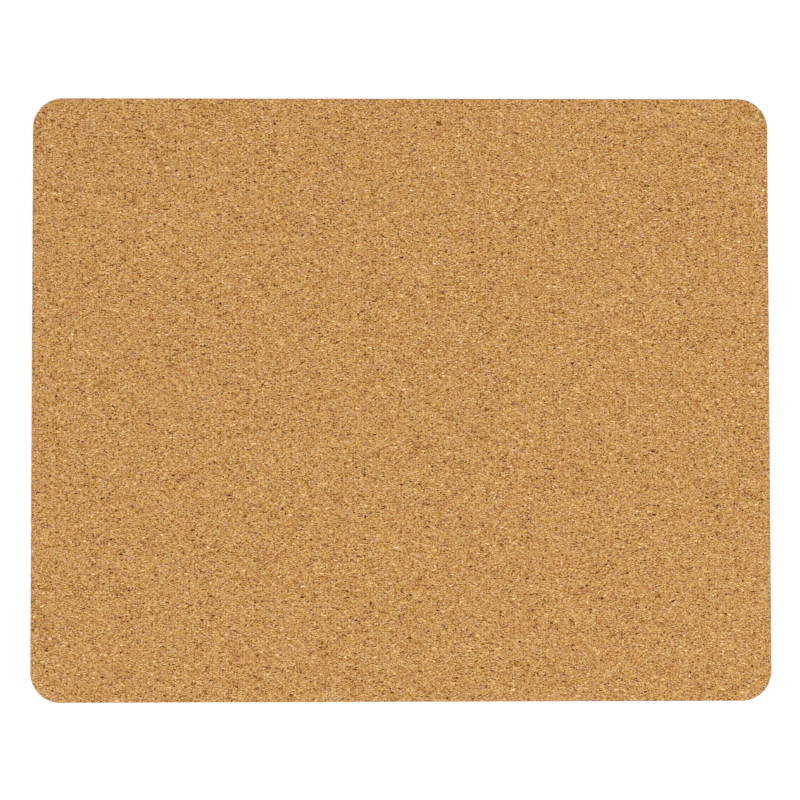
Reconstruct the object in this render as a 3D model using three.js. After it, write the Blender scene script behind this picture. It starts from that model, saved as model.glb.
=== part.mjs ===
// A cork mouse pad, built as the laminate it is: a sheet of pressed cork granules, a thin bonding film
// and a non-slip foam-rubber base, all cut to the same rounded rectangle.
// Millimetres, +Z up. The origin is the middle of the underside, and the long side runs along X.

import * as THREE from "three";

// Driving dimensions
const PAD_LENGTH = 220;
const PAD_DEPTH = 180;
const CORNER_RADIUS = 9;
const BASE_THICKNESS = 1.8;
const FILM_THICKNESS = 0.2;
const CORK_THICKNESS = 2;
const FILM_SETBACK = 0.4; // from the cut edge of the pad to the edge of the film
const CORK_EDGE_ROUND = 0.4; // upper edge of the cork, pressed round by the cutting die
const BASE_EDGE_ROUND = 0.3; // lower edge of the base

// Facets of the round stretches
const CORNER_FACETS = 16;
const EDGE_FACETS = 4;

// Levels of the bonded faces, upwards from the desk
const BASE_TOP = BASE_THICKNESS;
const FILM_TOP = BASE_TOP + FILM_THICKNESS;
const CORK_TOP = FILM_TOP + CORK_THICKNESS;

// Finishes of the three sheets
const CORK_FINISH = { color: 0xc4935a, roughness: 0.9, metalness: 0 };
const FILM_FINISH = { color: 0xb7a278, roughness: 0.5, metalness: 0 };
const RUBBER_FINISH = { color: 0x2a2a2b, roughness: 0.85, metalness: 0 };

const QUARTER_TURN = Math.PI / 2;

// The four corners of the pad, counter-clockwise from +X +Y
const CORNER_SIDES = [[1, 1], [-1, 1], [-1, -1], [1, -1]];

// The pad's rounded rectangle, drawn in from its cut edge by a setback
function padOutline(setback) {
  const outline = [];
  const radius = CORNER_RADIUS - setback;
  CORNER_SIDES.forEach(([sideX, sideY], corner) => {
    const centreX = sideX * (PAD_LENGTH / 2 - CORNER_RADIUS);
    const centreY = sideY * (PAD_DEPTH / 2 - CORNER_RADIUS);
    for (let facet = 0; facet <= CORNER_FACETS; facet += 1) {
      const angle = (corner + facet / CORNER_FACETS) * QUARTER_TURN;
      outline.push(new THREE.Vector2(
        centreX + radius * Math.cos(angle),
        centreY + radius * Math.sin(angle),
      ));
    }
  });
  return outline;
}

// One layer of the laminate, lofted through its sections: each is the pad's outline at a setback and a level
function layerGeometry(sections) {
  const outlines = sections.map(({ setback }) => padOutline(setback));
  const ring = outlines[0].length;
  const positions = [];
  outlines.forEach((outline, section) => {
    outline.forEach((point) => positions.push(point.x, point.y, sections[section].level));
  });

  const triangles = [];
  for (let section = 0; section < sections.length - 1; section += 1) {
    for (let point = 0; point < ring; point += 1) {
      const next = (point + 1) % ring;
      const low = section * ring;
      const high = low + ring;
      triangles.push(low + point, low + next, high + next);
      triangles.push(low + point, high + next, high + point);
    }
  }

  const lastRing = (sections.length - 1) * ring;
  THREE.ShapeUtils.triangulateShape(outlines[0], []).forEach(([a, b, c]) => triangles.push(a, c, b));
  THREE.ShapeUtils.triangulateShape(outlines.at(-1), []).forEach((face) => {
    face.forEach((point) => triangles.push(lastRing + point));
  });

  const geometry = new THREE.BufferGeometry();
  geometry.setAttribute("position", new THREE.Float32BufferAttribute(positions, 3));
  geometry.setIndex(triangles);
  geometry.computeVertexNormals();
  return geometry;
}

// Angles of a rounded edge, from its first facet to its last
function edgeAngles() {
  return Array.from({ length: EDGE_FACETS + 1 }, (_, facet) => (facet / EDGE_FACETS) * QUARTER_TURN);
}

// Foam rubber: flat underneath, with its lower edge rounded
function rubberBaseSections() {
  const lowerEdge = edgeAngles().map((angle) => ({
    setback: BASE_EDGE_ROUND * (1 - Math.sin(angle)),
    level: BASE_EDGE_ROUND * (1 - Math.cos(angle)),
  }));
  return [...lowerEdge, { setback: 0, level: BASE_TOP }];
}

// Bonding film: a plain thin sheet between the two faces that it joins
function bondFilmSections() {
  return [BASE_TOP, FILM_TOP].map((level) => ({ setback: FILM_SETBACK, level }));
}

// Cork: flat on top, with its upper edge rounded
function corkSheetSections() {
  const upperEdge = edgeAngles().map((angle) => ({
    setback: CORK_EDGE_ROUND * (1 - Math.cos(angle)),
    level: CORK_TOP - CORK_EDGE_ROUND * (1 - Math.sin(angle)),
  }));
  return [{ setback: 0, level: FILM_TOP }, ...upperEdge];
}

function layer(name, sections, finish) {
  const mesh = new THREE.Mesh(layerGeometry(sections), new THREE.MeshStandardMaterial(finish));
  mesh.name = name;
  return mesh;
}

const mousePad = new THREE.Group();
mousePad.add(layer("rubber_base", rubberBaseSections(), RUBBER_FINISH));
mousePad.add(layer("bond_film", bondFilmSections(), FILM_FINISH));
mousePad.add(layer("cork_sheet", corkSheetSections(), CORK_FINISH));

export default mousePad;
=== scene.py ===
# Looks of a cork mouse pad: a die-cut sheet of pressed cork granules, bonded to a foam-rubber base.
# Metres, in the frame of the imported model: X along the long side, Z up from the desk.
import math

import bpy
import numpy as np
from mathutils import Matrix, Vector, geometry, noise


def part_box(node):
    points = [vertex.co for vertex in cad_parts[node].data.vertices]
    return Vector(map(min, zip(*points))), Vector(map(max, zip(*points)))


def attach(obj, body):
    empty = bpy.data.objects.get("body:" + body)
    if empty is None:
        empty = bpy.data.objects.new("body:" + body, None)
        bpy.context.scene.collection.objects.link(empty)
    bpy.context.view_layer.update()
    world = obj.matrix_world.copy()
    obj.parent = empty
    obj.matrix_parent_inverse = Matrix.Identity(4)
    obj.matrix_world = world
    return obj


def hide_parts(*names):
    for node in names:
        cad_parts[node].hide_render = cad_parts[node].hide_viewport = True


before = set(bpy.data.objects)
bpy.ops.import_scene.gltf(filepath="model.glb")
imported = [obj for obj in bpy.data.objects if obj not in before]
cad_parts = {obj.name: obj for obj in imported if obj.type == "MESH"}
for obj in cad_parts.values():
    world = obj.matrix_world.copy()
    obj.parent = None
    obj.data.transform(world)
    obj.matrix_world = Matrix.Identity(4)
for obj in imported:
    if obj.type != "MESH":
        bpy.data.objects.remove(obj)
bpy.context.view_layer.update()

MM = 0.001
QUARTER_TURN = math.pi / 2
FULL_TURN = 2 * math.pi
DIAGONAL = math.sqrt(2)

# The three sheets, from the frame
CORK_LOW, CORK_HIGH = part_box("cork_sheet")
FILM_LOW, FILM_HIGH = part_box("bond_film")
BASE_LOW, BASE_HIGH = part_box("rubber_base")
HALF_LENGTH = CORK_HIGH.x
HALF_DEPTH = CORK_HIGH.y
FILM_SETBACK = CORK_HIGH.x - FILM_HIGH.x

# The radius of the cut corners, as in the CAD model
CORNER_RADIUS = 9 * MM

# How a face is filled with triangles: inside its rim only, and with points this near taken as one
FILL_INSIDE = 1
FILL_NEARNESS = 1e-9

# How a sheet is laid out on its map for baking, with lengths as shares of the map's width
MAP_MIDDLE = 0.5
MAP_MARGIN = 0.004
MAP_BACK_SHARE = 0.08
MAP_STRIPS = 4
MAP_STRIP_LENGTH = 1 - 3 * MAP_MARGIN
MAP_STRIP_HEIGHT = 0.016

# Cork: how finely it is meshed, and its rounded upper edge
CORK_RIM_STEP = 0.36 * MM
CORK_FACE_STEP = 0.95 * MM
CORK_FACE_MARGIN = 0.65 * MM
CORK_EDGE_ROUND = 0.4 * MM
CORK_EDGE_ROWS = 4
CORK_WALL_ROWS = 6

# Granules of the cut edge. A share of them is lost, which is drawn by their centres, spread apart.
CRUMB_SIZE = 0.8 * MM
CRUMB_DEPTH = 0.14 * MM
CRUMB_LOST_DEPTH = 0.22 * MM
CRUMB_LOST_SHARE = 0.06
CRUMB_DRAW = 3.7

# Lumps that the pressed granules make on the face
FACE_LUMP_SIZE = 1.9 * MM
FACE_LUMP_HEIGHT = 0.035 * MM

# Pits in the cork face. More places are drawn than are kept, because some fall too near the edge.
# Each ring of a pit has a share of the pit's size and of its depth, and the depth share also sets the painted
# shade in the pit.
PIT_COUNT = 320
PIT_DRAWS = 2 * PIT_COUNT
PIT_LENGTH = (0.5 * MM, 1.3 * MM)
PIT_SLIMNESS = (0.45, 0.75)
PIT_DEPTH = (0.12 * MM, 0.3 * MM)
PIT_TILT = 0.5
PIT_MARGIN = 2 * MM
PIT_RINGS = ((0.6, 0.8), (1, 0), (1.4, 0))
PIT_RING_POINTS = 9
PIT_RAGGED = 0.15
PIT_CLEAR = 1.6
PIT_SEED = 7

# Foam rubber: its rounded lower edge, and the diamond relief that grips the desk
BASE_RIM_STEP = 0.8 * MM
BASE_EDGE_ROUND = 0.3 * MM
BASE_EDGE_ROWS = 4
BASE_WALL_ROWS = 3
GRIP_PITCH = 3.4 * MM
GRIP_GROOVE = 0.7 * MM
GRIP_BEVEL = 0.3 * MM
GRIP_DEPTH = 0.25 * MM
GRIP_MARGIN = 0.3 * MM

# Bond film: its edge wanders a little where the glue was pressed out
FILM_RIM_STEP = 0.8 * MM
FILM_WANDER = 0.2 * MM
FILM_WANDER_SIZE = 6 * MM

# The sockets that a Mix node uses for colours, by number
MIX_SHARE = 0
MIX_FIRST = 6
MIX_SECOND = 7
MIX_RESULT = 2

# How a screen shows a channel of a colour: in steps, with a straight foot and a power curve above it
SCREEN_STEPS = 255
SCREEN_FOOT = 0.04045
SCREEN_FOOT_SLOPE = 12.92
SCREEN_LIFT = 0.055
SCREEN_POWER = 2.4

# The middle of the values of a cloud, and of the random values of cells
MIDDLE = 0.5


class Wire:
    """A socket of a material's nodes. Operators on it add Math nodes, and make() adds any other node."""

    def __init__(self, tree, socket=None):
        self.tree = tree
        self.socket = socket

    def make(self, kind, settings, inputs, output=0):
        """A new node with its settings, and the values or links of its inputs: one of its outputs."""
        node = self.tree.nodes.new(kind)
        for name, value in settings.items():
            if name == "stops":
                set_stops(node.color_ramp, value)
            else:
                setattr(node, name, value)
        for name, value in inputs.items():
            if isinstance(value, Wire):
                self.tree.links.new(value.socket, node.inputs[name])
            else:
                node.inputs[name].default_value = value
        return Wire(self.tree, node.outputs[output])

    def math(self, operation, *values):
        return self.make("ShaderNodeMath", {"operation": operation}, dict(enumerate(values)))

    def __add__(self, other):
        return self.math("ADD", self, other)

    def __radd__(self, other):
        return self.math("ADD", other, self)

    def __sub__(self, other):
        return self.math("SUBTRACT", self, other)

    def __rsub__(self, other):
        return self.math("SUBTRACT", other, self)

    def __mul__(self, other):
        return self.math("MULTIPLY", self, other)

    def __rmul__(self, other):
        return self.math("MULTIPLY", other, self)

    def __gt__(self, other):
        return self.math("GREATER_THAN", self, other)

    def __lt__(self, other):
        return self.math("LESS_THAN", self, other)

    def vector(self, operation, *values):
        return self.make("ShaderNodeVectorMath", {"operation": operation}, dict(enumerate(values)))

    def blend(self, share, first, second, blend_type="MIX"):
        """A mix of two colours."""
        settings = {"data_type": "RGBA", "blend_type": blend_type}
        inputs = {MIX_SHARE: share, MIX_FIRST: first, MIX_SECOND: second}
        return self.make("ShaderNodeMix", settings, inputs, MIX_RESULT)

    def fade(self, low, high):
        """0 where this value is under low, 1 where it is over high, with a smooth rise between."""
        settings = {"interpolation_type": "SMOOTHSTEP"}
        inputs = {"Value": self, "From Min": low, "From Max": high}
        return self.make("ShaderNodeMapRange", settings, inputs)

    def output(self, name):
        """Another output of the same node."""
        return Wire(self.tree, self.socket.node.outputs[name])

    def channel(self, name):
        """One channel of a colour, as a value."""
        return self.make("ShaderNodeSeparateColor", {}, {"Color": self}, name)


def set_stops(ramp, stops):
    while len(ramp.elements) < len(stops):
        ramp.elements.new(1)
    for element, (position, colour) in zip(ramp.elements, stops):
        element.position = position
        element.color = colour


def linear(step):
    """The light of one channel of a colour that is seen on screen."""
    share = step / SCREEN_STEPS
    if share <= SCREEN_FOOT:
        return share / SCREEN_FOOT_SLOPE
    return ((share + SCREEN_LIFT) / (1 + SCREEN_LIFT)) ** SCREEN_POWER


def paint(red, green, blue):
    """A colour as it is seen on screen, from 0 to 255, as the linear light that a shader takes."""
    return (linear(red), linear(green), linear(blue), 1)


def start_nodes(owner):
    """A Wire to build on, in the emptied node tree of a material or a world."""
    owner.use_nodes = True
    owner.node_tree.nodes.clear()
    return Wire(owner.node_tree)


def end_nodes(wire, kind, shader):
    """Leads a shader to the output node of its tree."""
    output = wire.tree.nodes.new(kind)
    wire.tree.links.new(shader.socket, output.inputs["Surface"])


def own_place(wire):
    """The place on the piece, in metres."""
    return wire.make("ShaderNodeTexCoord", {}, {}, "Object")


def cells(wire, place, size):
    """Cells of a size round scattered points: a random colour for each. The distance is another output."""
    return wire.make("ShaderNodeTexVoronoi", {}, {"Vector": place, "Scale": 1 / size}, "Color")


def cloud(wire, place, size, detail=1, output="Fac"):
    """Soft random swells of a size. Detail is how many times finer swells are laid over them."""
    inputs = {"Vector": place, "Scale": 1 / size, "Detail": detail}
    return wire.make("ShaderNodeTexNoise", {}, inputs, output)


def relief(wire, depth, height):
    """A small relief of the surface: a height that is given in shares of a depth."""
    inputs = {"Strength": 1, "Distance": depth, "Height": height}
    return wire.make("ShaderNodeBump", {}, inputs, "Normal")


def add_object(name, data):
    """A new object of the scene."""
    thing = bpy.data.objects.new(name, data)
    bpy.context.scene.collection.objects.link(thing)
    return thing


# Cork finish

# The cork's tones, from 0, dark, to 1, pale, in two hues. Below, TONE, DARK and PALE are how far a feature
# shifts the tone, FADE is where its soft border lies, and SHARES are how many cells hold each of two kinds.
GOLD_TONES = [
    (0, paint(89, 33, 0)),
    (0.2, paint(149, 91, 0)),
    (0.4, paint(187, 138, 66)),
    (0.6, paint(213, 168, 99)),
    (0.8, paint(238, 199, 127)),
    (1, paint(255, 223, 151)),
]
LILAC_TONES = [
    (0, paint(85, 35, 4)),
    (0.2, paint(148, 88, 30)),
    (0.4, paint(186, 135, 83)),
    (0.6, paint(211, 166, 113)),
    (0.8, paint(235, 196, 143)),
    (1, paint(253, 219, 167)),
]
TONE_MIDDLE = 0.595

# What the colour is multiplied by: on rusty and ashen lumps, and for a slight tint
CORK_RUST = paint(240, 221, 219)
CORK_ASH = paint(228, 222, 232)
CORK_PINK = paint(255, 249, 255)
CORK_OLIVE = paint(250, 253, 254)

# How places are bent, and how much longer granules and flecks are along the pad than across it
WANDER_SIZE = 0.6 * MM
WANDER_REACH = 0.3 * MM
GRAIN_STRETCH = 1.9
FLECK_STRETCH = 2.8

# Granules, the seams between them, and a fine grain over both
GRANULE_SIZE = 0.27 * MM
GRANULE_TONE = 0.18
SEAM_FADE = (0.3, 0.7)
SEAM_TONE = 0.32
FINE_SIZE = 0.3 * MM
FINE_TONE = 0.5

# Flecks: small dashes and larger bits, each dark or pale, and lumps, rusty or ashen
FLECK_RAGGED = 0.38
FLECK_SHARES = (0.225, 0.38)
DASH_SIZE = 0.3 * MM
DASH_FADE = (0.2, 0.45)
DASH_DARK = 3
DASH_PALE = 2.2
BIT_SIZE = 0.96 * MM
BIT_FADE = (0.12, 0.25)
BIT_DARK = 1.45
BIT_PALE = 0.7
LUMP_SIZE = 1.5 * MM
LUMP_FADE = (0.22, 0.55)
LUMP_SHARES = (0.12, 0.055)
LUMP_TONE = 0.02

# Loose clusters, in which the dark dashes are stronger
CLUSTER_SIZE = 8 * MM
CLUSTER_DETAIL = 2
CLUSTER_GAIN = 3

# Hairlines: they follow one channel of a cloud, and show where another channel is high
HAIRLINE_SIZE = 2 * MM
HAIRLINE_WIDTH = 0.025
HAIRLINE_BREAK = 0.57
HAIRLINE_TONE = 0.2

# Painted shade in the pits, and clumps of granules that share a hue or a tint
PIT_SHADE_TONE = 0.4
CLUMP_SIZE = 0.66 * MM
CLUMP_TONE = 0.025
TINT_SIZE = 0.9 * MM

# The feel of the surface: pale cork is a little smoother
CORK_RELIEF = 0.06 * MM
CORK_ROUGHNESS = 0.95
CORK_POLISH = 0.12
CORK_SPECULAR = 0.2


def cork_places(wire):
    """Bent places on the cork, for granules and, drawn out more, for flecks."""
    place = own_place(wire)
    swell = cloud(wire, place, WANDER_SIZE, output="Color")
    wander = wire.vector("SUBTRACT", swell, (MIDDLE, MIDDLE, MIDDLE))
    bent = wire.vector("MULTIPLY_ADD", wander, (WANDER_REACH, WANDER_REACH, WANDER_REACH), place)
    grain = wire.vector("MULTIPLY", bent, (1 / GRAIN_STRETCH, 1, 1))
    drawn = wire.vector("MULTIPLY", bent, (1 / FLECK_STRETCH, 1, 1))
    return grain, drawn


def flecks(wire, place, fine, size, fade, shares):
    """Two kinds of ragged fleck, each in a share of the cells of a size: how strong each kind is here."""
    cell = cells(wire, place, size)
    inside = 1 - (cell.output("Distance") + fine * FLECK_RAGGED).fade(*fade)
    first, second = shares
    first_kind = cell.channel("Red").fade(1 - first, 1) * inside
    second_kind = cell.channel("Green").fade(1 - second, 1) * inside
    return first_kind, second_kind


def hairlines(wire, grain):
    """1 on a hairline and 0 off it. A hairline runs where a cloud crosses its middle."""
    swell = cloud(wire, grain, HAIRLINE_SIZE, output="Color")
    off_line = wire.math("ABSOLUTE", swell.channel("Red") - MIDDLE)
    return (1 - off_line.fade(0, HAIRLINE_WIDTH)) * (swell.channel("Green") > HAIRLINE_BREAK)


def cork_tone(wire, grain, drawn, fine, clump, lumps):
    """How pale the cork is here: its middle tone, and what each feature adds or takes."""
    granule = cells(wire, grain, GRANULE_SIZE)
    dark_dash, pale_dash = flecks(wire, drawn, fine, DASH_SIZE, DASH_FADE, FLECK_SHARES)
    dark_bit, pale_bit = flecks(wire, drawn, fine, BIT_SIZE, BIT_FADE, FLECK_SHARES)
    gathered = (cloud(wire, grain, CLUSTER_SIZE, CLUSTER_DETAIL) - MIDDLE) * CLUSTER_GAIN + 1
    rust_lump, ash_lump = lumps
    # The pit attribute darkens the cork by its share of depth: painted shade in the pits.
    pit = wire.make("ShaderNodeAttribute", {"attribute_name": "pit"}, {}, "Fac")
    return (
        TONE_MIDDLE
        - (clump - MIDDLE) * CLUMP_TONE
        + (granule.channel("Red") - MIDDLE) * GRANULE_TONE
        - granule.output("Distance").fade(*SEAM_FADE) * SEAM_TONE
        + fine * FINE_TONE
        + pale_dash * DASH_PALE
        - dark_dash * gathered * DASH_DARK
        + pale_bit * BIT_PALE
        - dark_bit * BIT_DARK
        - hairlines(wire, grain) * HAIRLINE_TONE
        - (rust_lump + ash_lump) * LUMP_TONE
        - pit * PIT_SHADE_TONE
    )


def cork_colour(wire, grain, tone, clump, lumps):
    """The colour of a tone: between gold and lilac by the clump, then stained by lumps and tinted."""
    gold = wire.make("ShaderNodeValToRGB", {"stops": GOLD_TONES}, {"Fac": tone}, "Color")
    lilac = wire.make("ShaderNodeValToRGB", {"stops": LILAC_TONES}, {"Fac": tone}, "Color")
    rust_lump, ash_lump = lumps
    tint = cells(wire, grain, TINT_SIZE).channel("Green")
    colour = wire.blend(clump, gold, lilac)
    colour = wire.blend(ash_lump, colour, CORK_ASH, "MULTIPLY")
    colour = wire.blend(rust_lump, colour, CORK_RUST, "MULTIPLY")
    return wire.blend(1, colour, wire.blend(tint, CORK_PINK, CORK_OLIVE), "MULTIPLY")


def cork_material():
    material = bpy.data.materials.new("pressed_cork")
    wire = start_nodes(material)
    grain, drawn = cork_places(wire)
    fine = cloud(wire, grain, FINE_SIZE) - MIDDLE
    clump = cells(wire, grain, CLUMP_SIZE).channel("Red")
    lumps = flecks(wire, grain, fine, LUMP_SIZE, LUMP_FADE, LUMP_SHARES)
    tone = cork_tone(wire, grain, drawn, fine, clump, lumps)
    shader = wire.make(
        "ShaderNodeBsdfPrincipled", {},
        {
            "Base Color": cork_colour(wire, grain, tone, clump, lumps),
            "Roughness": CORK_ROUGHNESS - tone * CORK_POLISH,
            "Specular IOR Level": CORK_SPECULAR,
            "Normal": relief(wire, CORK_RELIEF, tone),
        },
    )
    end_nodes(wire, "ShaderNodeOutputMaterial", shader)
    return material


# Foam finish

FOAM_DARK = paint(34, 34, 35)
FOAM_DUSTY = paint(43, 42, 41)
# The pore colour is painted shade at the middles of the pores, where the relief is deepest.
FOAM_PORE_SHADE = paint(16, 16, 17)
DUST_SIZE = 9 * MM
DUST_DETAIL = 4
DUST_FADE = (0.35, 0.75)
PORE_SIZE = 0.35 * MM
PORE_SHADE_FADE = (0.1, 0.35)
FOAM_RELIEF = 0.05 * MM
FOAM_ROUGHNESS = 0.76
DUST_ROUGHNESS = 0.14
FOAM_SPECULAR = 0.35


def foam_material():
    material = bpy.data.materials.new("foam_rubber")
    wire = start_nodes(material)
    place = own_place(wire)
    off_pore = cells(wire, place, PORE_SIZE).output("Distance")
    dust = cloud(wire, place, DUST_SIZE, DUST_DETAIL).fade(*DUST_FADE)
    colour = wire.blend(dust, FOAM_DARK, FOAM_DUSTY)
    # Painted shade: the pores darken towards their middles, where the relief sinks deepest.
    colour = wire.blend(1 - off_pore.fade(*PORE_SHADE_FADE), colour, FOAM_PORE_SHADE)
    shader = wire.make(
        "ShaderNodeBsdfPrincipled", {},
        {
            "Base Color": colour,
            "Roughness": FOAM_ROUGHNESS + dust * DUST_ROUGHNESS,
            "Specular IOR Level": FOAM_SPECULAR,
            "Normal": relief(wire, FOAM_RELIEF, off_pore),
        },
    )
    end_nodes(wire, "ShaderNodeOutputMaterial", shader)
    return material


# Glue finish

GLUE_BROWN = paint(170, 138, 88)
GLUE_PALE = paint(206, 182, 136)
GLUE_CLOUD_SIZE = 2 * MM
GLUE_CLOUD_DETAIL = 3
GLUE_FADE = (0.3, 0.7)
GLUE_ROUGHNESS = 0.3
GLUE_DULLNESS = 0.3


def film_material():
    material = bpy.data.materials.new("dried_glue")
    wire = start_nodes(material)
    clouds = cloud(wire, own_place(wire), GLUE_CLOUD_SIZE, GLUE_CLOUD_DETAIL)
    colour = wire.blend(clouds.fade(*GLUE_FADE), GLUE_BROWN, GLUE_PALE)
    roughness = GLUE_ROUGHNESS + clouds * GLUE_DULLNESS
    shader = wire.make("ShaderNodeBsdfPrincipled", {}, {"Base Color": colour, "Roughness": roughness})
    end_nodes(wire, "ShaderNodeOutputMaterial", shader)
    return material


# The cut shape of the pad

def rim_path(step):
    """Even steps round the pad: points of its core rectangle, and the direction outwards at each."""
    core = []
    angle = []
    reach = np.array([HALF_LENGTH, HALF_DEPTH]) - CORNER_RADIUS
    centres = [reach * side for side in ((1, 1), (-1, 1), (-1, -1), (1, -1))]
    for quarter, centre in enumerate(centres):
        along = centres[(quarter + 1) % len(centres)] - centre
        turns = round(CORNER_RADIUS * QUARTER_TURN / step)
        strides = round(np.linalg.norm(along) / step)
        core += [centre] * turns
        angle += [(quarter + turn / turns) * QUARTER_TURN for turn in range(turns)]
        core += [centre + along * stride / strides for stride in range(strides)]
        angle += [(quarter + 1) * QUARTER_TURN] * strides
    angle = np.array(angle)
    return np.array(core), np.stack([np.cos(angle), np.sin(angle)], 1)


def ring(path, setback, level):
    """One row of the cut edge: the rim drawn in by a setback, at a level."""
    core, outward = path
    plan = core + outward * (CORNER_RADIUS - np.reshape(setback, (-1, 1)))
    return np.column_stack([plan, np.full(len(plan), level)])


def rounded_edge(radius, row_count):
    """Rows round an edge, from its wall on: how far each is set back, and how far it is past the wall."""
    angles = [row / row_count * QUARTER_TURN for row in range(1, row_count + 1)]
    return [(radius * (1 - math.cos(angle)), radius * math.sin(angle)) for angle in angles]


def depth_inside(points):
    """How far each plan point lies inside the pad's outline."""
    beyond = np.abs(points[:, :2]) - (np.array([HALF_LENGTH, HALF_DEPTH]) - CORNER_RADIUS)
    outside = np.linalg.norm(np.maximum(beyond, 0), axis=1)
    inside = np.minimum(beyond.max(1), 0)
    return CORNER_RADIUS - outside - inside


def face_lattice(step, margin):
    """Plan points in rows of equal triangles over the pad's face."""
    rise = step * math.sqrt(3) / 2
    rows = np.arange(-HALF_DEPTH, HALF_DEPTH, rise)
    columns = np.arange(-HALF_LENGTH, HALF_LENGTH, step)
    points = [(x + step / 2 * (number % 2), y) for number, y in enumerate(rows) for x in columns]
    points = np.array(points)
    return points[depth_inside(points) > margin]


def edge_quads(count, row_count):
    """The quads between rows of the cut edge."""
    quads = []
    for low in range(0, count * (row_count - 1), count):
        for k in range(count):
            after = (k + 1) % count
            quads.append([low + k, low + after, low + after + count, low + k + count])
    return quads


def fill_face(points, first, count):
    """Triangles over the face: its rim is the row from the first point on, and the rest lie inside."""
    flat = [Vector(point[:2]) for point in points[first:]]
    rim = [(k, (k + 1) % count) for k in range(count)]
    _, _, triangles, *_ = geometry.delaunay_2d_cdt(flat, rim, [], FILL_INSIDE, FILL_NEARNESS)
    return [[first + k for k in triangle] for triangle in triangles]


def lay_out(mesh, count, row_count):
    """A flat layout to bake through: first the back, small, then the edge in strips, then the face, large."""
    spread = (1 - 2 * MAP_MARGIN) / (2 * HALF_LENGTH)
    face_middle = Vector((MAP_MIDDLE, 1 - MAP_MARGIN - HALF_DEPTH * spread))
    back_spread = spread * MAP_BACK_SHARE
    back_middle = Vector((HALF_LENGTH, HALF_DEPTH)) * back_spread + Vector((MAP_MARGIN, MAP_MARGIN))
    strips_low = back_middle.y + HALF_DEPTH * back_spread + MAP_MARGIN
    layer = mesh.uv_layers.new(name="OFBake")
    for polygon in mesh.polygons:
        start = (polygon.index - 1) % count
        strip = start * MAP_STRIPS // count
        for loop, vertex in zip(polygon.loop_indices, polygon.vertices):
            place = mesh.vertices[vertex].co.xy
            if polygon.index == 0:
                place = back_middle + place * back_spread
            elif polygon.index > count * (row_count - 1):
                place = face_middle + place * spread
            else:
                along = (start + (vertex - start) % count) * MAP_STRIPS / count - strip
                up = vertex // count / (row_count - 1)
                place = Vector((
                    MAP_MARGIN + along * MAP_STRIP_LENGTH,
                    strips_low + strip * (MAP_STRIP_HEIGHT + MAP_MARGIN) + up * MAP_STRIP_HEIGHT,
                ))
            layer.uv[loop].vector = place


def sheet_piece(name, rows, face, material, face_up=True, crisp=False):
    """A closed sheet: rows of its cut edge, from its flat back to its face, and more points on the face."""
    count = len(rows[0])
    points = np.concatenate(rows + [face])
    back = list(range(count))[::-1]
    triangles = fill_face(points, count * (len(rows) - 1), count)
    faces = [back] + edge_quads(count, len(rows)) + triangles
    if not face_up:
        faces = [corners[::-1] for corners in faces]
    mesh = bpy.data.meshes.new(name)
    mesh.from_pydata(points.tolist(), [], faces)
    smooth = [True] * (len(faces) - len(triangles)) + [not crisp] * len(triangles)
    mesh.polygons.foreach_set("use_smooth", smooth)
    lay_out(mesh, count, len(rows))
    mesh.materials.append(material)
    return add_object(name, mesh)


# Cork

def crumble(point):
    """How far the cut cork is worn back at a point: least in a granule's middle, most where one is lost."""
    distances, centres = noise.voronoi(Vector(point) / CRUMB_SIZE)
    worn = CRUMB_DEPTH * min(distances[0], 1)
    if noise.cell(centres[0] * CRUMB_DRAW) > 1 - CRUMB_LOST_SHARE:
        worn += CRUMB_LOST_DEPTH
    return worn


def cork_rows():
    """The cut edge of the cork, upwards: a granular wall and a rounded upper edge."""
    path = rim_path(CORK_RIM_STEP)
    wall_top = CORK_HIGH.z - CORK_EDGE_ROUND
    profile = [(0, level) for level in np.linspace(CORK_LOW.z, wall_top, CORK_WALL_ROWS + 1)]
    for setback, rise in rounded_edge(CORK_EDGE_ROUND, CORK_EDGE_ROWS):
        profile.append((setback, wall_top + rise))
    rows = []
    for setback, level in profile:
        plain = ring(path, setback, level)
        worn = np.array([crumble(point) for point in plain])
        rows.append(ring(path, setback + worn, level))
    return rows


def face_lump(point):
    """The small height of the pressed granules on the face."""
    return FACE_LUMP_HEIGHT * noise.noise(Vector(point) / FACE_LUMP_SIZE)


def cork_pits(random):
    """Places, half sizes, tilts and depths of the holes where a granule has come out of the face."""
    places = random.uniform((-HALF_LENGTH, -HALF_DEPTH), (HALF_LENGTH, HALF_DEPTH), (PIT_DRAWS, 2))
    places = places[depth_inside(places) > PIT_MARGIN][:PIT_COUNT]
    pits = []
    for place in places:
        length = random.uniform(*PIT_LENGTH) / 2
        width = length * random.uniform(*PIT_SLIMNESS)
        tilt = random.normal(0, PIT_TILT)
        pits.append((place, length, width, tilt, random.uniform(*PIT_DEPTH)))
    return pits


def pit_points(random, place, length, width, turn, depth):
    """The middle and the ragged rings of a pit: plan places, with their depths in metres and as shares, the
    shares also setting the painted shade.
    """
    points = [(*place, depth, 1)]
    for share, sink in PIT_RINGS:
        for corner in range(PIT_RING_POINTS):
            angle = corner / PIT_RING_POINTS * FULL_TURN
            ragged = share * random.uniform(1 - PIT_RAGGED, 1 + PIT_RAGGED)
            offset = turn @ (ragged * length * math.cos(angle), ragged * width * math.sin(angle))
            points.append((*(place + offset), depth * sink, sink))
    return points


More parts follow.
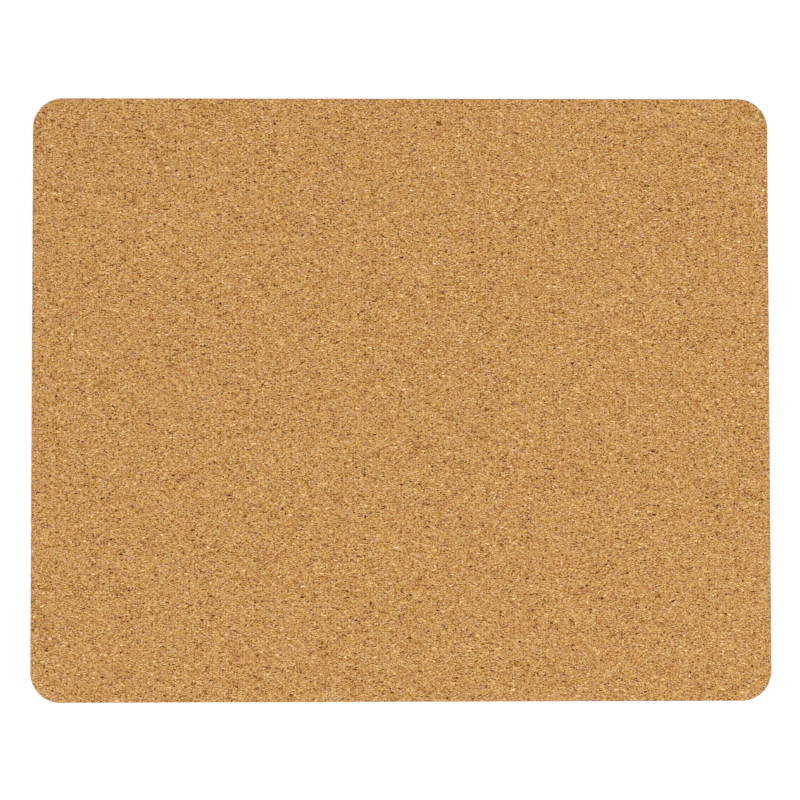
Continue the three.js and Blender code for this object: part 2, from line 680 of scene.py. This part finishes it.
def cork_face():
    """Points of the face, each with how deep it lies in a pit as a share, which paints shade into the pit: a
    lattice with finer rings at the pits.
    """
    random = np.random.default_rng(PIT_SEED)
    lattice = face_lattice(CORK_FACE_STEP, CORK_EDGE_ROUND + CORK_FACE_MARGIN)
    keep = np.ones(len(lattice), bool)
    extra = []
    for place, length, width, tilt, depth in cork_pits(random):
        turn = np.array([[math.cos(tilt), -math.sin(tilt)], [math.sin(tilt), math.cos(tilt)]])
        local = (lattice - place) @ turn / (length, width)
        keep &= np.linalg.norm(local, axis=1) > PIT_CLEAR
        extra += pit_points(random, place, length, width, turn, depth)
    lattice = lattice[keep]
    extra = np.array(extra)
    unsunk = np.zeros(len(lattice))
    plan = np.concatenate([lattice, extra[:, :2]])
    sunk = np.concatenate([unsunk, extra[:, 2]])
    # The share of depth in a pit, which paints shade there
    pit = np.concatenate([unsunk, extra[:, 3]])
    lumps = np.array([face_lump((x, y, 0)) for x, y in plan])
    levels = CORK_HIGH.z - FACE_LUMP_HEIGHT + lumps - sunk
    return np.column_stack([plan, levels]), pit


def make_cork():
    face, pits = cork_face()
    piece = sheet_piece("cork_face", cork_rows(), face, cork_material())
    # The pit attribute carries the pits' painted shade to the cork material.
    values = np.zeros(len(piece.data.vertices), np.float32)
    values[-len(pits):] = pits
    piece.data.attributes.new("pit", "FLOAT", "POINT").data.foreach_set("value", values)
    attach(piece, "root")
    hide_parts("cork_sheet")


# Foam rubber

def grip_lines(reach):
    """Places across the diamond relief: two corners on each side of every groove."""
    half = GRIP_GROOVE / 2
    grooves = math.ceil(reach / GRIP_PITCH)
    middles = np.arange(-grooves, grooves + 1) * GRIP_PITCH
    offsets = (-half - GRIP_BEVEL, -half, half, half + GRIP_BEVEL)
    return np.array([middle + offset for middle in middles for offset in offsets])


def grip_rise(plan):
    """How far the underside is pressed in at a plan point: full in a groove, none on a diamond."""
    across = np.stack([plan[:, 0] + plan[:, 1], plan[:, 0] - plan[:, 1]], 1) / DIAGONAL
    off_groove = np.abs((across + GRIP_PITCH / 2) % GRIP_PITCH - GRIP_PITCH / 2).min(1)
    return GRIP_DEPTH * np.clip(1 - (off_groove - GRIP_GROOVE / 2) / GRIP_BEVEL, 0, 1)


def base_rows():
    """The cut edge of the base, downwards from the bonded face to its rounded lower edge."""
    path = rim_path(BASE_RIM_STEP)
    wall_low = BASE_LOW.z + BASE_EDGE_ROUND
    rows = [ring(path, 0, level) for level in np.linspace(BASE_HIGH.z, wall_low, BASE_WALL_ROWS + 1)]
    for setback, drop in rounded_edge(BASE_EDGE_ROUND, BASE_EDGE_ROWS):
        rows.append(ring(path, setback, wall_low - drop))
    rows[-1][:, 2] += grip_rise(rows[-1])
    return rows


def base_face():
    """Points of the underside, on the corners of the diamond relief."""
    lines = grip_lines(math.hypot(HALF_LENGTH, HALF_DEPTH))
    first, second = np.meshgrid(lines, lines)
    plan = np.stack([first + second, first - second], -1).reshape(-1, 2) / DIAGONAL
    plan = plan[depth_inside(plan) > BASE_EDGE_ROUND + GRIP_MARGIN]
    return np.column_stack([plan, BASE_LOW.z + grip_rise(plan)])


def make_base():
    piece = sheet_piece("foam_base", base_rows(), base_face(), foam_material(), face_up=False, crisp=True)
    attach(piece, "root")
    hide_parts("rubber_base")


# Bond film

def make_film():
    path = rim_path(FILM_RIM_STEP)
    plain = ring(path, FILM_SETBACK, 0)
    wander = np.array([noise.noise(Vector(point) / FILM_WANDER_SIZE) for point in plain])
    rows = [ring(path, FILM_SETBACK + FILM_WANDER * wander, level) for level in (FILM_LOW.z, FILM_HIGH.z)]
    no_points = np.zeros((0, 3))
    piece = sheet_piece("glue_film", rows, no_points, film_material())
    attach(piece, "root")
    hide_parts("bond_film")


# Studio: the lens in millimetres, turns in degrees and the lamp's power in watts

WHITE = (1, 1, 1, 1)
FLOOR_REACH = 3
FLOOR_TONE = (0.85, 0.85, 0.85, 1)
FLOOR_SHADOW_TONE = (0.25, 0.25, 0.25, 1)
FLOOR_GLOW = 0.8
CAMERA_LENS = 100
CAMERA_PLACE = (-10.93 * MM, -26.53 * MM, 665.3 * MM)
CAMERA_TURN = (2.263, -0.905, -0.086)
WORLD_LIGHT = 0.52
KEY_SIZE = 1.5
KEY_PLACE = (0.45, -0.45, 2.1)
KEY_POWER = 35.6


def seen_ray(wire):
    """1 for a ray that shows the background, straight or in gloss or glass, and 0 for one that lights."""
    straight = wire.make("ShaderNodeLightPath", {}, {}, "Is Camera Ray")
    mirrored = wire.math("MAXIMUM", straight, straight.output("Is Glossy Ray"))
    return wire.math("MAXIMUM", mirrored, straight.output("Is Transmission Ray"))


def floor_material():
    material = bpy.data.materials.new("studio_floor")
    wire = start_nodes(material)
    plain = wire.make("ShaderNodeBsdfDiffuse", {}, {"Color": FLOOR_TONE})
    shaded = wire.make("ShaderNodeBsdfDiffuse", {}, {"Color": FLOOR_SHADOW_TONE})
    bright = wire.make("ShaderNodeEmission", {}, {"Color": WHITE, "Strength": FLOOR_GLOW})
    seen = wire.make("ShaderNodeAddShader", {}, {0: shaded, 1: bright})
    shader = wire.make("ShaderNodeMixShader", {}, {0: seen_ray(wire), 1: plain, 2: seen})
    end_nodes(wire, "ShaderNodeOutputMaterial", shader)
    return material


def make_floor():
    mesh = bpy.data.meshes.new("floor")
    corners = [(x * FLOOR_REACH, y * FLOOR_REACH, 0) for x, y in ((-1, -1), (1, -1), (1, 1), (-1, 1))]
    mesh.from_pydata(corners, [], [(0, 1, 2, 3)])
    mesh.materials.append(floor_material())
    floor = add_object("floor", mesh)


def make_world():
    world = bpy.data.worlds.new("studio")
    wire = start_nodes(world)
    strength = WORLD_LIGHT + seen_ray(wire) * (1 - WORLD_LIGHT)
    light = wire.make("ShaderNodeBackground", {}, {"Color": WHITE, "Strength": strength})
    end_nodes(wire, "ShaderNodeOutputWorld", light)
    bpy.context.scene.world = world


def make_key_light():
    lamp = bpy.data.lights.new("key", "AREA")
    lamp.shape = "SQUARE"
    lamp.size = KEY_SIZE
    lamp.energy = KEY_POWER
    key = add_object("key", lamp)
    key.location = KEY_PLACE
    key.rotation_euler = (-Vector(KEY_PLACE)).to_track_quat("-Z", "Y").to_euler()


def make_camera():
    lens = bpy.data.cameras.new("camera")
    lens.lens = CAMERA_LENS
    camera = add_object("camera", lens)
    camera.location = CAMERA_PLACE
    camera.rotation_euler = [math.radians(angle) for angle in CAMERA_TURN]
    bpy.context.scene.camera = camera


make_camera()
make_cork()
make_film()
make_base()
make_floor()
make_world()
make_key_light()
bpy.context.scene.view_settings.view_transform = "Standard"
